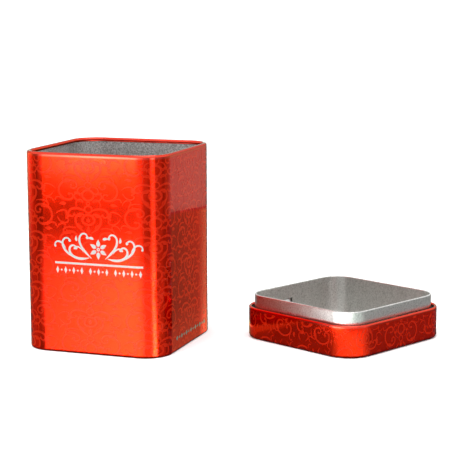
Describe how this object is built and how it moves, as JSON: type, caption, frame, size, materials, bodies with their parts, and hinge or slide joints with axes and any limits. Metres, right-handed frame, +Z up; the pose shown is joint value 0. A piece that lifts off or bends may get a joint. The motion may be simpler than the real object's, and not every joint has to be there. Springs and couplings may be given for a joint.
{
  "type": "printed square tin",
  "caption": "Open square printed tinplate tin with rounded corners and a curled rim, its plug lid lying upside down beside it.",
  "frame": {"origin": "centre of the tin's base, in the plane it stands on", "axes": "+Z up out of the open mouth, -Y out of the decorated front face, +X towards the open lid"},
  "size_m": [0.2029, 0.1324, 0.1054],
  "materials": {
    "body_print": "red translucent ink and gloss varnish over tinplate, plain tinplate inside",
    "base_tinplate": "plain tinplate, satin",
    "lid_print": "red translucent ink and gloss varnish over tinplate, plain tinplate inside",
    "neck_tinplate": "plain tinplate, satin"
  },
  "bodies": {
    "tin": {"body_wall": "body_print", "base_panel": "base_tinplate"},
    "lid": {"lid_shell": "lid_print", "lid_neck_ring": "neck_tinplate"}
  },
  "joints": [
    {"name": "lid_lift", "type": "slide", "parent": "tin", "child": "lid", "axis": [0, 0, 1], "range_m": [0, 0.13]}
  ]
}
